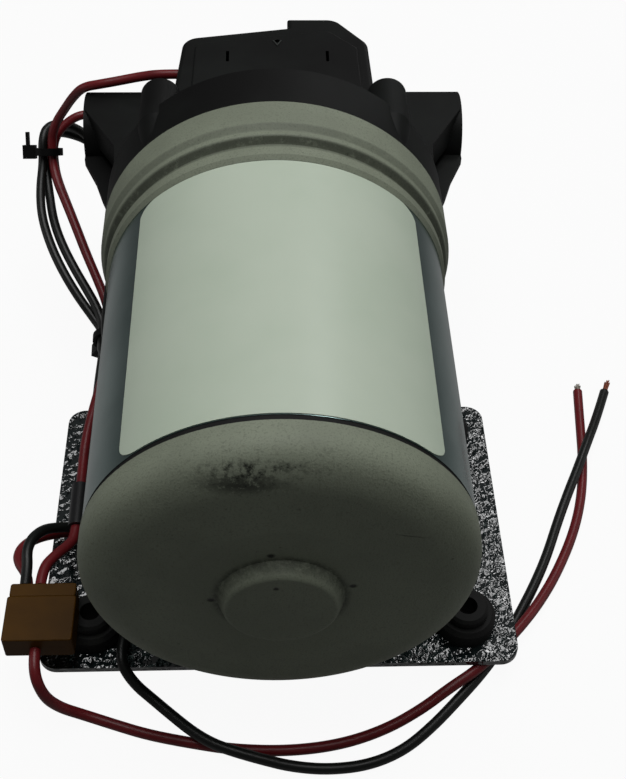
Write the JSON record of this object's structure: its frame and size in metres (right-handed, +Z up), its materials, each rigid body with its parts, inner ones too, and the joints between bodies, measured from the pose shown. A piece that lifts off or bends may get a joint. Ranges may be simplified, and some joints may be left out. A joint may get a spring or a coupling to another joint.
{
  "type": "diaphragm water pump",
  "caption": "Motor-driven diaphragm water pump on a footed base plate, with side ports, a pressure switch cover and loose leads.",
  "frame": {"origin": "centre of the four mounting holes, at the bottom of the rubber feet", "axes": "+Z up; +Y along the motor shaft towards the pump head; +X to the right, seen from the motor's end cap"},
  "size_m": [0.2093, 0.2401, 0.1202],
  "materials": {
    "grey_painted_casting": "grey paint with a fine sandy texture",
    "zinc_steel": "zinc plated, semi-gloss",
    "white_label": "glossy film",
    "black_rubber": "matte",
    "black_moulding": "semi-matte",
    "hammered_black": "black hammer finish",
    "bright_steel": "bright",
    "dark_screws": "black oxide",
    "cast_zinc": "as cast",
    "grey_moulding": "matte",
    "lamination_steel": "dull",
    "copper": "bright copper",
    "ferrite": "matte sintered",
    "carbon": "matte carbon",
    "red_insulation": "semi-gloss insulation",
    "black_insulation": "semi-gloss insulation",
    "tan_nylon": "aged nylon"
  },
  "bodies": {
    "pump_housing": {"adjusting_screw": "bright_steel", "base_plate": "hammered_black", "black_lead": "black_insulation", "blank_label": "white_label", "brush_card": "black_moulding", "connector_plug": "tan_nylon", "connector_socket": "tan_nylon", "diaphragm": "black_rubber", "field_magnets": "ferrite", "front_adapter": "grey_painted_casting", "front_bearing_outer": "bright_steel", "gallery_seal": "black_rubber", "head_screws": "dark_screws", "inlet_valves": "black_rubber", "lead_bushings": "black_rubber", "lead_tips": "copper", "left_brush_spring": "bright_steel", "lower_cable_tie": "black_moulding", "lower_housing": "black_moulding", "microswitch": "black_moulding", "motor_can": "zinc_steel", "motor_lead": "black_insulation", "motor_saddle": "hammered_black", "outlet_valve": "black_rubber", "rear_bearing_outer": "bright_steel", "rear_end_cap": "grey_painted_casting", "red_lead": "red_insulation", "right_brush_spring": "bright_steel", "rubber_feet": "black_rubber", "saddle_screws": "bright_steel", "seam_gasket": "black_rubber", "switch_cover": "black_moulding", "switch_diaphragm": "black_rubber", "switch_lead": "red_insulation", "switch_return": "red_insulation", "switch_spring": "bright_steel", "tie_bolts": "bright_steel", "upper_cable_tie": "black_moulding", "upper_housing": "black_moulding", "valve_plate": "black_moulding", "wire_sleeve": "black_insulation"},
    "rotor": {"motor_shaft": "bright_steel", "armature_core": "lamination_steel", "armature_winding": "copper", "commutator": "copper", "rear_bearing_inner": "bright_steel", "front_bearing_inner": "bright_steel", "cam_hub": "cast_zinc", "cam_bearing_inner": "bright_steel"},
    "rocker": {"cam_bearing_outer": "bright_steel", "wobble_plate": "grey_moulding", "pistons": "grey_moulding", "piston_screws": "bright_steel"},
    "left_brush_carrier": {"left_brush": "carbon"},
    "right_brush_carrier": {"right_brush": "carbon"},
    "switch_plunger_body": {"switch_plunger": "black_moulding"},
    "switch_button_body": {"microswitch_button": "black_moulding"}
  },
  "joints": [
    {"name": "rotor_spin", "type": "hinge", "parent": "pump_housing", "child": "rotor", "pos_m": [0, 0, 0.066], "axis": [0, 1, 0], "continuous": true},
    {"name": "rocker_wobble", "type": "hinge", "parent": "rotor", "child": "rocker", "pos_m": [0, 0.0688, 0.066], "axis": [0, 0.9981, 0.061], "continuous": true, "deforming": ["diaphragm"]},
    {"name": "left_brush_slide", "type": "slide", "parent": "pump_housing", "child": "left_brush_carrier", "axis": [-1, 0, 0], "range_m": [0, 0.004], "stiffness_N_per_m": 150, "springref_m": -0.012, "deforming": ["left_brush_spring"]},
    {"name": "right_brush_slide", "type": "slide", "parent": "pump_housing", "child": "right_brush_carrier", "axis": [1, 0, 0], "range_m": [0, 0.004], "stiffness_N_per_m": 150, "springref_m": -0.012, "deforming": ["right_brush_spring"]},
    {"name": "switch_plunger_lift", "type": "slide", "parent": "pump_housing", "child": "switch_plunger_body", "axis": [0, 0, 1], "range_m": [0, 0.0008], "stiffness_N_per_m": 2000, "springref_m": -0.004, "deforming": ["switch_spring", "switch_diaphragm"]},
    {"name": "microswitch_button_travel", "type": "slide", "parent": "pump_housing", "child": "switch_button_body", "axis": [0, 0, 1], "range_m": [0, 0.0008]}
  ],
  "couplings": [
    {"joint": "rocker_wobble", "follows": "rotor_spin", "ratio": -1},
    {"joint": "microswitch_button_travel", "follows": "switch_plunger_lift", "ratio": 1}
  ]
}
